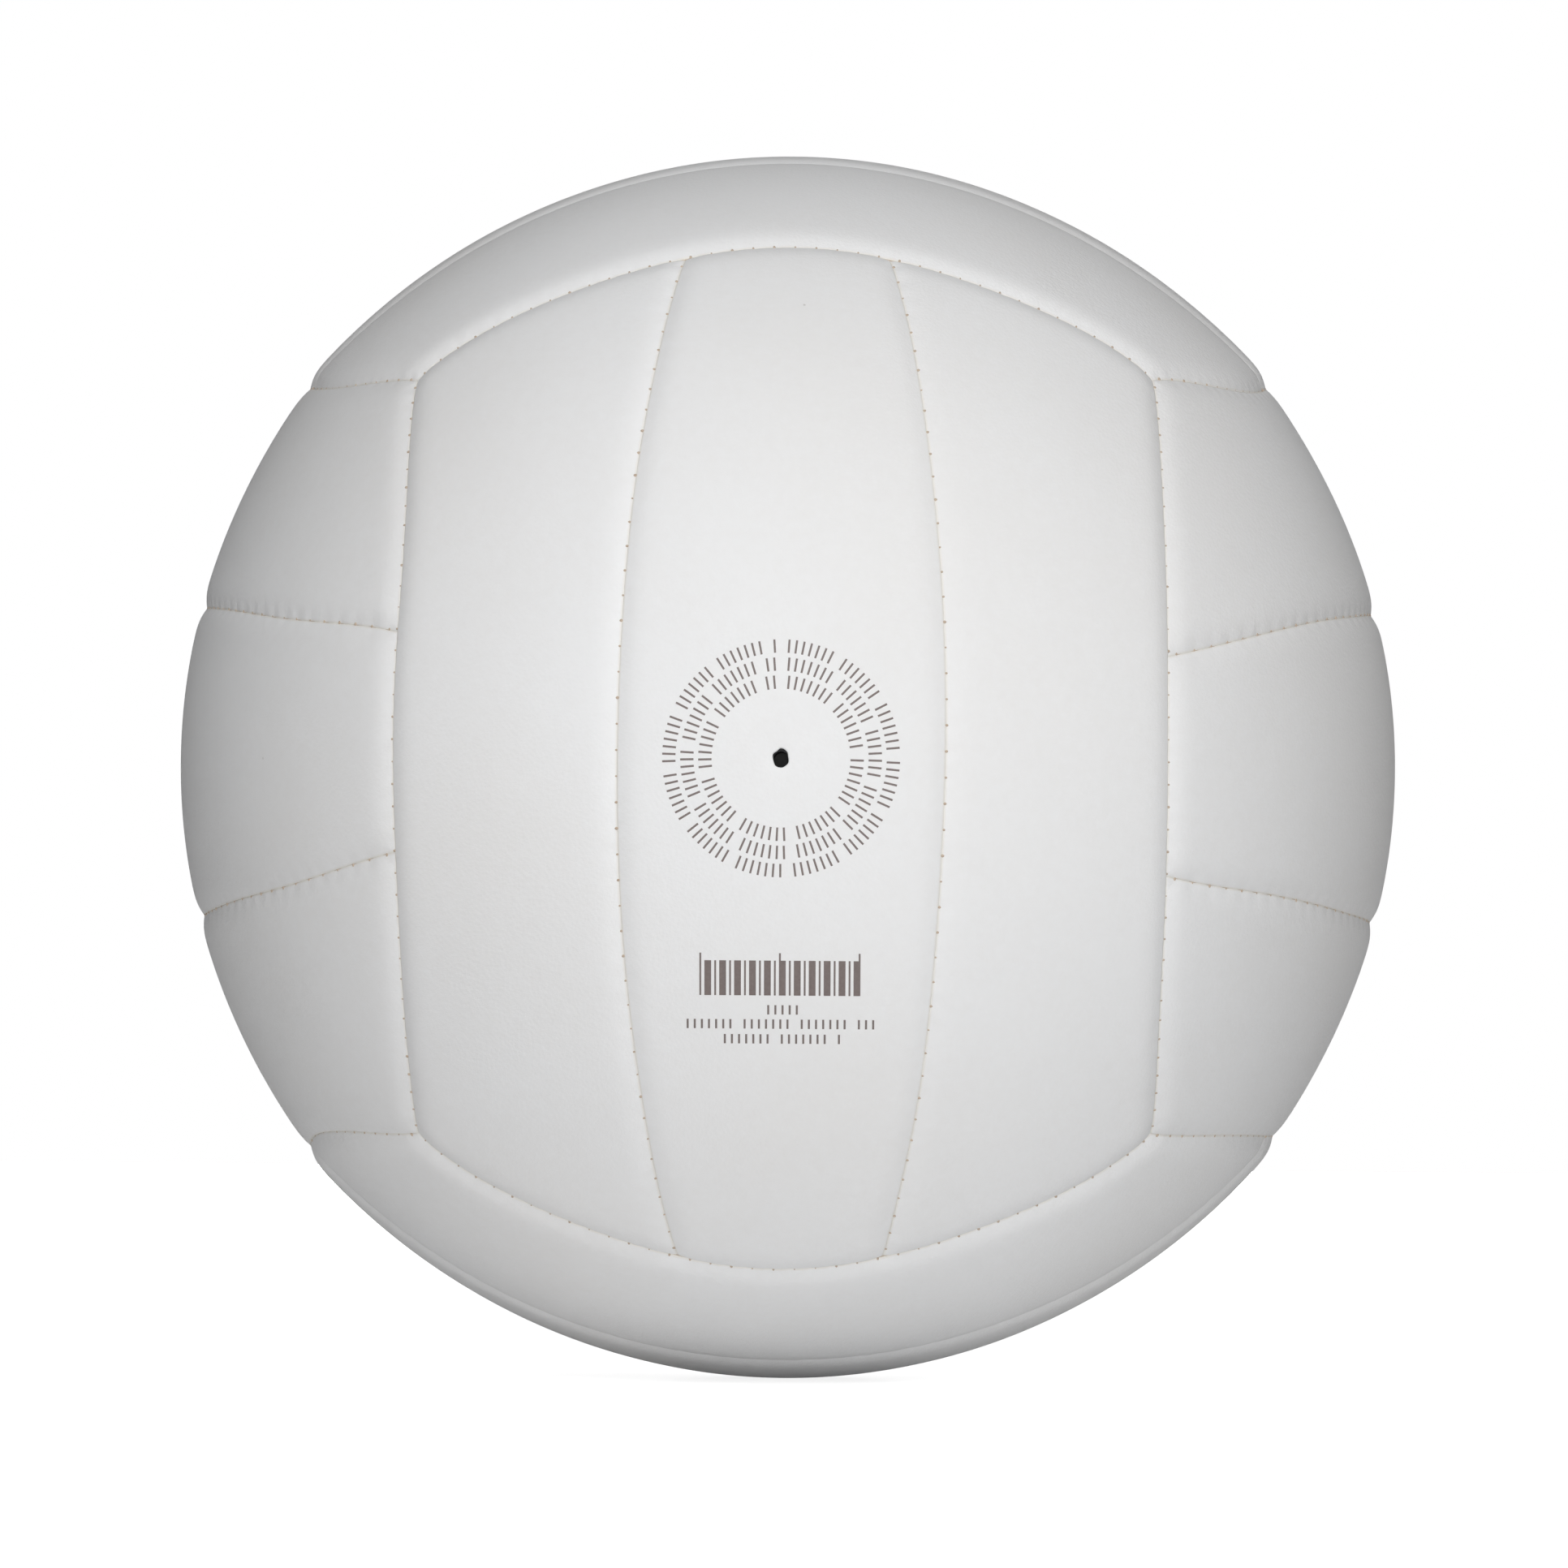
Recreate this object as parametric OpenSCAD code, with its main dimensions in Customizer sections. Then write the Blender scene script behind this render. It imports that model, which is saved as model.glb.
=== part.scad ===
// Eighteen-panel volleyball: six faces of three strips, sewn inside out and turned.
// Millimetres. The origin is the ball's centre, +Z is up and the valve faces -Y.

/* [Ball] */
// Outer diameter of the inflated ball
ball_d = 210; // [190:1:220]

/* [Seams] */
// Angle from the middle of a face to the middle of its long edge
edge_angle = 36.9; // [35:0.1:39]
// Angle from the middle of a face to the middle of its strip seam
strip_angle = 14.7; // [11:0.1:17]
// Angle from the middle of a short edge to the end of a strip seam
strip_end_angle = 9.4; // [7:0.1:12]
// Gap between the two panels of a seam
seam_gap = 0.2; // [0.1:0.05:0.4]
// Width of the rounded lip beside a seam
lip_width = 3.7; // [2.5:0.1:5]
// Depth of the crease between two lips
lip_depth = 1.2; // [0.8:0.1:1.3]

/* [Cover] */
// Thickness of the synthetic leather
skin_t = 1.6; // [1.5:0.1:2]
// Thickness of the foam behind the leather
foam_t = 2.5; // [1.5:0.1:4]
// Thickness of the woven backing
backing_t = 0.4; // [0.3:0.05:0.8]
// Room left between two layers
layer_gap = 0.1; // [0.05:0.05:0.2]

/* [Thread] */
// Diameter of the sewing thread
thread_d = 0.6; // [0.4:0.1:0.7]

/* [Bladder] */
// Wall of the rubber bladder
bladder_t = 0.8; // [0.5:0.1:1.5]

/* [Valve] */
// Height of the valve above the middle of its panel
valve_rise = -1.5; // [-4:0.1:4]
// Diameter of the needle hole in the leather
cover_hole_d = 2.8; // [2.5:0.1:4]
// Diameter of the needle's lead-in bore
needle_bore_d = 2.4; // [2:0.1:2.4]
// Length of the needle's lead-in bore
needle_bore_l = 8; // [5:0.5:10]
// Diameter of the rubber plug
core_d = 5; // [4.4:0.1:6]
// Length of the rubber plug
core_l = 14; // [12:0.5:18]
// Diameter of the plug's head
core_head_d = 6.4; // [6.4:0.1:7]
// Height of the plug's head
core_head_h = 1; // [0.6:0.1:1.5]
// Diameter of the valve housing's stem
stem_d = 9; // [8.6:0.1:11]
// Diameter of the valve housing's flange
flange_d = 26; // [20:1:34]
// Thickness of the valve housing's flange
flange_t = 1.5; // [1:0.1:2.5]
// Diameter of the patch that backs the cover at the valve
patch_d = 34; // [24:1:40]

/* [Hidden] */
$fn = 144;
ball_r = ball_d / 2;
half_gap = seam_gap / 2;
foam_inset = skin_t + layer_gap;
backing_inset = foam_inset + foam_t + layer_gap;
cover_t = backing_inset + backing_t;
bladder_r = ball_r - cover_t - layer_gap;
thread_depth = skin_t + layer_gap + thread_d / 2;
core_top = ball_r - skin_t - 2 * layer_gap;
// One overrun for every cut that has to pass a surface
overrun = lip_width;
// The middle of the ball that the seams' cuts leave alone, as a share of its radius
core_share = 0.5;
// Where the lip's section turns down, in shares of its width and of the crease's depth
lip_turn_share = 0.4;
lip_turn_depth_share = 0.38;
// A thread arc stops short of a seam's end by this much of the ball's radius
thread_stop_share = 0.035;

white = "#e9e9e6";
foam_colour = "#d9d6c8";
cloth_colour = "#cfcabb";
thread_colour = "#c9b49a";
black = "#1b1b1c";

// Turns that carry the top face onto each of the six faces
top = [0, 0, 0];
bottom = [180, 0, 0];
front = [0, -90, 90];
back = [0, -90, -90];
right = [90, 0, 90];
left = [90, 0, -90];

// Geometry of one face, with u along the strips, v across them and z out of the face.
// Each seam is the circle through three of the directions below.

function unit(p) = p / norm(p);
function corner(u, v) = unit([u, v, 1]);
function across(angle) = [0, sin(angle), cos(angle)];

function long_edge(v) = [corner(-1, v), across(v * edge_angle), corner(1, v)];
function short_edge(u) = [corner(u, -1), [u * cos(edge_angle), 0, sin(edge_angle)], corner(u, 1)];

// Axis of a seam's circle, turned so that the side to keep is the far one
function seam_normal(s) = unit(cross(s[1] - s[0], s[2] - s[0]));
function seam_axis(s, keep) = let (n = seam_normal(s)) n * (keep - s[0]) < 0 ? n : -n;
function seam_radius(s, axis) = acos(s[0] * axis);

// The end of a strip seam, where it meets the short edge's circle
short_axis = seam_axis(short_edge(1), [0, 0, 1]);
short_radius = seam_radius(short_edge(1), short_axis);
end_turn = atan2(short_axis[2], short_axis[0]) + acos(cos(short_radius) / cos(strip_end_angle));
end_u = cos(strip_end_angle) * abs(cos(end_turn));
end_z = cos(strip_end_angle) * abs(sin(end_turn));
function strip_end(u, v) = [u * end_u, v * sin(strip_end_angle), end_z];
function strip_seam(v) = [strip_end(-1, v), across(v * strip_angle), strip_end(1, v)];

// The four seams round a strip: side is 0 for the middle strip, -1 or 1 for an outer one
function strip_middle(side) = across(side * (edge_angle + strip_angle) / 2);
function strip_seams(side) = [
    strip_seam(side == 0 ? 1 : side),
    side == 0 ? strip_seam(-1) : long_edge(side),
    short_edge(1),
    short_edge(-1)
];

// A point beside a seam, x into the panel and y out of the ball, in a section through the axis
function beside_seam(radius, x, y) = ball_r * [sin(radius), cos(radius)]
    + x * [cos(radius), -sin(radius)] + y * [sin(radius), cos(radius)];

// The lip's section: it leaves the ball's surface, turns down, and ends in the crease
lip_points = [
    [half_gap + lip_width, 0],
    [half_gap + lip_turn_share * lip_width, -lip_turn_depth_share * lip_depth],
    [half_gap, -lip_depth]
];

module toward(axis) rotate([0, acos(axis[2]), atan2(axis[1], axis[0])]) children();

// Puts a section drawn about a seam in its place beside the seam's axis
module at_seam(radius) translate(ball_r * [sin(radius), cos(radius)]) rotate(-radius) children();

// All that lies beyond a line inset from the seam, outside the middle of the ball
module beyond_seam(radius, inset) {
    off = half_gap + inset;
    reach = 2 * ball_r;
    middle = core_share * ball_r;
    polygon([
        beside_seam(radius, off, -middle),
        [reach, (reach * cos(radius) - off) / sin(radius)],
        [reach, reach],
        [0, reach],
        [0, middle]
    ]);
}

module seam_cut(seam, keep, inset) {
    axis = seam_axis(seam, keep);
    toward(axis) rotate_extrude() beyond_seam(seam_radius(seam, axis), inset);
}

// One band of a lip: the sphere, centred on the seam's axis, through two points of its section
module lip_band(seam, keep, from, to, inset) {
    axis = seam_axis(seam, keep);
    radius = seam_radius(seam, axis);
    high = beside_seam(radius, from[0], from[1]);
    low = beside_seam(radius, to[0], to[1]);
    centre_z = (high * high - low * low) / (2 * (high[1] - low[1]));
    toward(axis) translate([0, 0, centre_z]) sphere(norm(high - [0, centre_z]) - inset);
}

// A ball whose poles lie off the strip's ends, clear of the seams
module ball(r) rotate([-90, 90, 0]) sphere(r);

// A ball that is rounded down to the seams of a strip along a lip's section, for a layer
// inset from the surface
module crowned(side, inset, section) intersection() {
    ball(ball_r - inset);
    intersection_for(seam = strip_seams(side)) intersection_for(i = [1:len(section) - 1])
        lip_band(seam, strip_middle(side), section[i - 1], section[i], inset);
}

module strip_cuts(side, inset) {
    for (seam = strip_seams(side)) seam_cut(seam, strip_middle(side), inset);
}

module at_valve() translate([0, 0, valve_rise]) rotate([90, 0, 0]) children();

// Round hole through the cover, square to the ball at the valve
module valve_hole(d) at_valve() cylinder(h = ball_r + overrun, d = d);

// Leather of one strip: rounded lips beside all four seams, trimmed back just short of the crease
module leather(face, side) color(white) rotate(face) difference() {
    crowned(side, 0, lip_points);
    strip_cuts(side, layer_gap);
    ball(ball_r - skin_t);
}

// Foam of one strip: its edges are drawn down under the lips, clear of the thread
module foam(face, side) color(foam_colour) rotate(face) difference() {
    crowned(side, foam_inset, [lip_points[0], lip_points[2]]);
    strip_cuts(side, layer_gap);
    ball(ball_r - foam_inset - foam_t);
}

module backing(face) color(cloth_colour) rotate(face) for (side = [-1, 0, 1]) difference() {
    ball(ball_r - backing_inset);
    strip_cuts(side, layer_gap);
    ball(ball_r - cover_t);
}

// Thread along a seam, as an arc just under the edges of the leather
module thread_arc(seam) {
    axis = seam_normal(seam);
    radius = seam_radius(seam, axis);
    tilt = acos(axis[2]);
    turn = atan2(axis[1], axis[0]);
    across_x = [cos(tilt) * cos(turn), cos(tilt) * sin(turn), -sin(tilt)];
    across_y = [-sin(turn), cos(turn), 0];
    middle = atan2(seam[1] * across_y, seam[1] * across_x);
    span = acos((unit(seam[0] - axis * cos(radius))) * unit(seam[1] - axis * cos(radius)));
    stop = thread_stop_share * 180 / PI / sin(radius);
    rotate([0, tilt, turn]) rotate([0, 0, middle - span + stop])
        rotate_extrude(angle = 2 * (span - stop))
        at_seam(radius) translate([0, -thread_depth]) circle(d = thread_d);
}

module strip_thread(face) color(thread_colour) rotate(face) for (v = [-1, 1]) thread_arc(strip_seam(v));

module front_left_panel() leather(front, 1);
module front_middle_panel() color(white) difference() {
    leather(front, 0);
    valve_hole(cover_hole_d);
}
module front_right_panel() leather(front, -1);
module back_left_panel() leather(back, -1);
module back_middle_panel() leather(back, 0);
module back_right_panel() leather(back, 1);
module top_front_panel() leather(top, -1);
module top_middle_panel() leather(top, 0);
module top_back_panel() leather(top, 1);
module bottom_front_panel() leather(bottom, 1);
module bottom_middle_panel() leather(bottom, 0);
module bottom_back_panel() leather(bottom, -1);
module left_upper_panel() leather(left, 1);
module left_middle_panel() leather(left, 0);
module left_lower_panel() leather(left, -1);
module right_upper_panel() leather(right, 1);
module right_middle_panel() leather(right, 0);
module right_lower_panel() leather(right, -1);
module front_left_foam() foam(front, 1);
module front_middle_foam() color(foam_colour) difference() {
    foam(front, 0);
    valve_hole(stem_d + 2 * layer_gap);
}
module front_right_foam() foam(front, -1);
module back_left_foam() foam(back, -1);
module back_middle_foam() foam(back, 0);
module back_right_foam() foam(back, 1);
module top_front_foam() foam(top, -1);
module top_middle_foam() foam(top, 0);
module top_back_foam() foam(top, 1);
module bottom_front_foam() foam(bottom, 1);
module bottom_middle_foam() foam(bottom, 0);
module bottom_back_foam() foam(bottom, -1);
module left_upper_foam() foam(left, 1);
module left_middle_foam() foam(left, 0);
module left_lower_foam() foam(left, -1);
module right_upper_foam() foam(right, 1);
module right_middle_foam() foam(right, 0);
module right_lower_foam() foam(right, -1);
module front_backing() color(cloth_colour) difference() {
    backing(front);
    valve_hole(patch_d + 2 * layer_gap);
}
module back_backing() backing(back);
module top_backing() backing(top);
module bottom_backing() backing(bottom);
module left_backing() backing(left);
module right_backing() backing(right);
module front_thread() strip_thread(front);
module back_thread() strip_thread(back);
module top_thread() strip_thread(top);
module bottom_thread() strip_thread(bottom);
module left_thread() strip_thread(left);
module right_thread() strip_thread(right);

module joining_thread() color(thread_colour) for (face = [top, bottom, front, back, right, left])
    rotate(face) for (v = [-1, 1]) thread_arc(long_edge(v));

module bladder() color(black) difference() {
    ball(bladder_r);
    ball(bladder_r - bladder_t);
    valve_hole(stem_d + 2 * layer_gap);
}

// Moulded housing: a curved flange under the bladder's wall, and a stem through it
module valve_housing() color(black) difference() {
    union() {
        at_valve() translate([0, 0, core_top - core_l]) cylinder(h = core_l, d = stem_d);
        difference() {
            intersection() {
                ball(bladder_r - bladder_t - layer_gap);
                at_valve() cylinder(h = ball_r, d = flange_d);
            }
            ball(bladder_r - bladder_t - layer_gap - flange_t);
        }
    }
    at_valve() translate([0, 0, core_top - core_l - overrun])
        cylinder(h = core_l + 2 * overrun, d = core_d + 2 * layer_gap);
    at_valve() translate([0, 0, core_top - core_head_h - layer_gap])
        cylinder(h = core_head_h + overrun, d = core_head_d + 2 * layer_gap);
}

// Rubber plug with a head, and the blind lead-in bore for an inflating needle
module valve_core() color(black) at_valve() difference() {
    union() {
        translate([0, 0, core_top - core_l]) cylinder(h = core_l, d = core_d);
        translate([0, 0, core_top - core_head_h]) cylinder(h = core_head_h, d = core_head_d);
    }
    translate([0, 0, core_top - needle_bore_l]) cylinder(h = needle_bore_l + overrun, d = needle_bore_d);
}

// Round patch that fills the hole cut in the backing at the valve
module valve_patch() color(cloth_colour) difference() {
    intersection() {
        ball(ball_r - backing_inset);
        at_valve() cylinder(h = ball_r, d = patch_d);
    }
    ball(ball_r - cover_t);
    valve_hole(stem_d + 2 * layer_gap);
}

front_left_panel();
front_middle_panel();
front_right_panel();
back_left_panel();
back_middle_panel();
back_right_panel();
top_front_panel();
top_middle_panel();
top_back_panel();
bottom_front_panel();
bottom_middle_panel();
bottom_back_panel();
left_upper_panel();
left_middle_panel();
left_lower_panel();
right_upper_panel();
right_middle_panel();
right_lower_panel();
front_left_foam();
front_middle_foam();
front_right_foam();
back_left_foam();
back_middle_foam();
back_right_foam();
top_front_foam();
top_middle_foam();
top_back_foam();
bottom_front_foam();
bottom_middle_foam();
bottom_back_foam();
left_upper_foam();
left_middle_foam();
left_lower_foam();
right_upper_foam();
right_middle_foam();
right_lower_foam();
front_backing();
back_backing();
top_backing();
bottom_backing();
left_backing();
right_backing();
front_thread();
back_thread();
top_thread();
bottom_thread();
left_thread();
right_thread();
joining_thread();
bladder();
valve_housing();
valve_core();
valve_patch();
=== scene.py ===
import bpy
import numpy as np
from math import acos, atan2, cos, erfc, pi, radians, sin, sqrt
from mathutils import Euler, Matrix, Vector, noise


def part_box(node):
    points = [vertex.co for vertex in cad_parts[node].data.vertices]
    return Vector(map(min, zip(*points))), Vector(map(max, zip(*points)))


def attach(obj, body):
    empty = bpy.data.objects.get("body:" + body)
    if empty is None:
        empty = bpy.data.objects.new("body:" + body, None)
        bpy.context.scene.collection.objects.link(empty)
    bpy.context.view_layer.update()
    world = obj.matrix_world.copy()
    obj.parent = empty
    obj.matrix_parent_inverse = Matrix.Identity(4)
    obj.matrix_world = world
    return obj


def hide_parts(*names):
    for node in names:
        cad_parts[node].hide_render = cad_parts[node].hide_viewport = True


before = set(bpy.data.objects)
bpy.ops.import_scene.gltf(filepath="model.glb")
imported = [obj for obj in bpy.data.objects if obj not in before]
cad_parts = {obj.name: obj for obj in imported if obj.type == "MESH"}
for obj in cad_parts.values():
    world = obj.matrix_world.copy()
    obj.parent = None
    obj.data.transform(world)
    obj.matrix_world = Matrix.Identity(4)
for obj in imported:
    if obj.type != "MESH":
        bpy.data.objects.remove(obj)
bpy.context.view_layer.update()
MM = 0.001


# The bladder is a hollow ball of black butyl rubber, dipped and cured. The valve's
# housing is vulcanised through its wall, and the soft plug sits in the housing. All three
# are the CAD's own solids in one rubber: matt, pitted by the mould, and dusty in the pits.
rubber_black = (0.012, 0.012, 0.013, 1)
rubber_dusty = (0.05, 0.049, 0.047, 1)
rubber_pit_scale = 900
rubber_pit_depth = 0.05 * MM


def made(tree, kind, **settings):
    """A node of a tree: capitalised settings are its sockets, and the others its own."""
    node = tree.nodes.new(kind)
    for name, value in settings.items():
        if name[0].isupper():
            node.inputs[name.replace("_", " ")].default_value = value
        else:
            setattr(node, name, value)
    return node


def finish(name):
    """A new material, its node tree and its shader."""
    material = bpy.data.materials.new(name)
    material.use_nodes = True
    return material, material.node_tree, material.node_tree.nodes["Principled BSDF"]


def between(tree, factor, low, high):
    """Two colours mixed by a factor's output."""
    mix = made(tree, "ShaderNodeMix", data_type="RGBA", A=low, B=high)
    tree.links.new(factor, mix.inputs["Factor"])
    return mix.outputs["Result"]


def ranged(tree, value, low, high, start=0.0, end=1.0):
    """A value's output carried from start..end onto low..high."""
    reach = made(
        tree, "ShaderNodeMapRange", From_Min=start, From_Max=end, To_Min=low, To_Max=high
    )
    tree.links.new(value, reach.inputs["Value"])
    return reach.outputs["Result"]


rubber, tree, shader = finish("black butyl rubber")
spot = made(tree, "ShaderNodeTexCoord").outputs["Object"]
pits = made(tree, "ShaderNodeTexVoronoi", Scale=rubber_pit_scale)
dust = made(tree, "ShaderNodeTexNoise", Scale=160, Detail=4)
pit_bump = made(tree, "ShaderNodeBump", Strength=0.4, Distance=rubber_pit_depth)
tree.links.new(spot, pits.inputs["Vector"])
tree.links.new(spot, dust.inputs["Vector"])
tree.links.new(pits.outputs["Distance"], pit_bump.inputs["Height"])
tree.links.new(pit_bump.outputs["Normal"], shader.inputs["Normal"])
dusty = ranged(tree, dust.outputs[0], 0, 1, 0.5, 0.8)
tree.links.new(between(tree, dusty, rubber_black, rubber_dusty), shader.inputs["Base Color"])
tree.links.new(ranged(tree, dust.outputs[0], 0.5, 0.75), shader.inputs["Roughness"])
shader.inputs["Specular IOR Level"].default_value = 0.25
for name in ("bladder", "valve_housing", "valve_core"):
    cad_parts[name].data.materials.clear()
    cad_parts[name].data.materials.append(rubber)


# Plain woven cotton cloth is glued behind the foam of every strip, and a round patch of it
# backs the cover at the valve. It stops the cover stretching, and lies wholly inside.
cloth_light = (0.62, 0.58, 0.49, 1)
cloth_gap_shade = (0.33, 0.30, 0.24, 1)
yarns_per_metre = 900

cloth, tree, shader = finish("woven cotton backing")
spot = made(tree, "ShaderNodeTexCoord").outputs["Object"]
weft = made(tree, "ShaderNodeTexWave", bands_direction="DIAGONAL", Scale=yarns_per_metre)
warp = made(tree, "ShaderNodeTexWave", bands_direction="Z", Scale=yarns_per_metre)
weave = made(tree, "ShaderNodeMath", operation="MULTIPLY")
weave_bump = made(tree, "ShaderNodeBump", Strength=0.5, Distance=0.1 * MM)
for yarns in (weft, warp):
    tree.links.new(spot, yarns.inputs["Vector"])
tree.links.new(weft.outputs["Fac"], weave.inputs[0])
tree.links.new(warp.outputs["Fac"], weave.inputs[1])
tree.links.new(weave.outputs[0], weave_bump.inputs["Height"])
tree.links.new(weave_bump.outputs["Normal"], shader.inputs["Normal"])
# The weave sets both the cloth's bumps and its colour: the cloth is painted darker in the gaps
# between its yarns, where the bump sinks it, which is painted shade.
woven = between(tree, weave.outputs[0], cloth_gap_shade, cloth_light)
tree.links.new(woven, shader.inputs["Base Color"])
shader.inputs["Roughness"].default_value = 0.9
backings = ["front_backing", "back_backing", "top_backing", "bottom_backing"]
for name in backings + ["left_backing", "right_backing", "valve_patch"]:
    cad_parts[name].data.materials.clear()
    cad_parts[name].data.materials.append(cloth)


# Every strip of leather is bonded to a soft foam pad, which gives the ball its touch and
# fills the cover out between its seams. It is closed-cell foam, cut from sheet.
foam_light = (0.78, 0.75, 0.66, 1)
foam_pit_shade = (0.52, 0.48, 0.38, 1)
foam_cell_scale = 1400

foam, tree, shader = finish("closed-cell foam")
spot = made(tree, "ShaderNodeTexCoord").outputs["Object"]
cells = made(tree, "ShaderNodeTexVoronoi", Scale=foam_cell_scale)
cell_bump = made(tree, "ShaderNodeBump", Strength=0.6, Distance=0.15 * MM)
tree.links.new(spot, cells.inputs["Vector"])
tree.links.new(cells.outputs["Distance"], cell_bump.inputs["Height"])
tree.links.new(cell_bump.outputs["Normal"], shader.inputs["Normal"])
# The cells' distance sets both the foam's bumps and its colour: the foam is painted darker in
# each cell's hollow, where the bump sinks it, which is painted shade.
celled = between(tree, cells.outputs["Distance"], foam_pit_shade, foam_light)
tree.links.new(celled, shader.inputs["Base Color"])
shader.inputs["Roughness"].default_value = 0.85


# The cover is eighteen strips of white synthetic leather, three to each of six faces. They
# are sewn inside out and turned, so the air in the ball rolls both edges of every seam
# down into a rounded lip, and holds each face a little flatter than the round.
ball_r = 105 * MM
edge_angle = radians(36.9)
strip_angle = radians(14.7)
strip_end_angle = radians(9.4)
leather_t = 1.6 * MM
lip_depth = 0.9 * MM
lip_width = 2.7 * MM
edge_lip_depth = 0.9 * MM
edge_lip_width = 3.1 * MM
crease_depth = 0.05 * MM
crease_width = 0.12 * MM
flange_depth = 0.8 * MM
flange_width = 1.5 * MM
strip_stitch_pitch = 4.2 * MM
edge_stitch_pitch = 3.5 * MM
pucker_depth = 0.16 * MM
pucker_place = 0.3 * MM
pucker_width = 1.7 * MM
pucker_sharpness = 2
far_pucker_share = 0.5
seam_drift = 0.35 * MM
seam_drift_size = 32 * MM
seam_drift_reach = 12 * MM
uneven_depth = 0.05 * MM
uneven_size = 22 * MM
uneven_from_seam = 4 * MM
edge_t = 0.35 * MM
step_across = 1.0 * MM
step_along = 0.8 * MM
rise_power = 4
lip_steps = [0.0, 0.06, 0.12, 0.2, 0.32, 0.5, 0.75, 1.1, 1.5, 2.0, 2.6, 3.3, 4.1]

# Each face: the turns that carry the top face onto it, how far its middle sinks under the
# round, and how far it rises again to its short edges and to its long edges.
faces = {
    "top": ((0, 0, 0), 0.1 * MM, 1.1 * MM, 0.4 * MM),
    "bottom": ((180, 0, 0), 0.0 * MM, 1.0 * MM, 0.3 * MM),
    "front": ((0, -90, 90), 0.3 * MM, 0.4 * MM, 0.7 * MM),
    "back": ((0, -90, -90), 0.3 * MM, 0.4 * MM, 0.7 * MM),
    "right": ((90, 0, 90), 0.7 * MM, 0.9 * MM, 0.8 * MM),
    "left": ((90, 0, -90), 0.6 * MM, 0.9 * MM, 0.8 * MM),
}
turn = {f: np.array(Euler([radians(a) for a in faces[f][0]], "XYZ").to_matrix()) for f in faces}
strips = {
    "front": {"front_left": 1, "front_middle": 0, "front_right": -1},
    "back": {"back_left": -1, "back_middle": 0, "back_right": 1},
    "top": {"top_front": -1, "top_middle": 0, "top_back": 1},
    "bottom": {"bottom_front": 1, "bottom_middle": 0, "bottom_back": -1},
    "left": {"left_upper": 1, "left_middle": 0, "left_lower": -1},
    "right": {"right_upper": 1, "right_middle": 0, "right_lower": -1},
}


def unit(p):
    return np.asarray(p, float) / np.linalg.norm(p)


def corner(u, v):
    return unit((u, v, 1))


def across(angle):
    return np.array((0, sin(angle), cos(angle)))


def long_edge(v):
    return corner(-1, v), across(v * edge_angle), corner(1, v)


def short_edge(u):
    return corner(u, -1), np.array((u * cos(edge_angle), 0, sin(edge_angle))), corner(u, 1)


def seam_axis(seam):
    return unit(np.cross(seam[1] - seam[0], seam[2] - seam[0]))


# A strip seam ends on the circle of the short edge, a set angle from the edge's middle.
short_axis = seam_axis(short_edge(1))
short_axis = short_axis if short_axis[2] < 0 else -short_axis
end_swing = acos((short_edge(1)[0] @ short_axis) / cos(strip_end_angle))
end_turn = atan2(short_axis[2], short_axis[0]) + end_swing
end_u = cos(strip_end_angle) * abs(cos(end_turn))
end_z = cos(strip_end_angle) * abs(sin(end_turn))


def strip_seam(v):
    ends = [np.array((u * end_u, v * sin(strip_end_angle), end_z)) for u in (-1, 1)]
    return ends[0], across(v * strip_angle), ends[1]


def along_circle(seam, start, end, shares):
    """Points on a seam's circle from start to end, at these shares of the way."""
    axis = seam_axis(seam)
    height = axis * (axis @ start)
    x = start - height
    y = np.cross(axis, x)
    swing = atan2((end - height) @ y, (end - height) @ x) * shares
    return height + np.cos(swing)[:, None] * x + np.sin(swing)[:, None] * y


def seam_length(seam):
    turns = np.linspace(0, 1, 200)
    path = along_circle(seam, seam[0], seam[2], turns) * ball_r
    return np.linalg.norm(np.diff(path, axis=0), axis=1).sum()


def stitch_count(seam, edge):
    return round(seam_length(seam) / (edge_stitch_pitch if edge else strip_stitch_pitch))


# A face's seams: its two long and two short edges, and the two between its strips.
face_seams = [(long_edge(v), True, (0, v, 0)) for v in (-1, 1)]
face_seams += [(short_edge(u), True, (u, 0, 0)) for u in (-1, 1)]
face_seams += [(strip_seam(v), False, (0, v, 0)) for v in (-1, 1)]


def from_seam(points, seam):
    """How far unit points lie from a seam, and how far along it."""
    axis = seam_axis(seam)
    away = (np.arccos(np.clip(points @ axis, -1, 1)) - acos(seam[0] @ axis)) * ball_r
    x = unit(seam[1] - axis * (seam[1] @ axis))
    y = np.cross(axis, x)
    along = np.arctan2(points @ y, points @ x) * sqrt(1 - (seam[0] @ axis) ** 2) * ball_r
    return np.abs(away), along


def lip_drop(away, edge):
    """How far the leather has rolled down at a distance from a seam."""
    depth, width = (edge_lip_depth, edge_lip_width) if edge else (lip_depth, lip_width)
    roll = depth * np.vectorize(erfc)(away / width)
    return roll + crease_depth * np.exp(-away / crease_width)


def lips(points):
    """How far the leather has rolled down at points of a face, from all its seams together."""
    drop = np.zeros(len(points))
    for seam, edge, _ in face_seams:
        drop = np.hypot(drop, lip_drop(from_seam(points, seam)[0], edge))
    return drop


def face_radius(points, face):
    """Radius of a face's leather along unit directions of its own frame, before its lips."""
    _, sink, short_rise, long_rise = faces[face]
    rise = short_rise * (points[:, 0] / cos(edge_angle)) ** rise_power
    return ball_r - sink + rise + long_rise * (points[:, 1] / sin(edge_angle)) ** rise_power


def across_from(face, toward):
    """The face that a face is sewn to, in a direction."""
    return max(faces, key=lambda f: turn[f][:, 2] @ (turn[face] @ toward))


def sewn_face(face, toward):
    """The face whose lip shows the stitches of the seam that it shares, in a direction."""
    order = ("top", "bottom", "left", "right", "front", "back")
    return min(face, across_from(face, toward), key=order.index)


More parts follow.
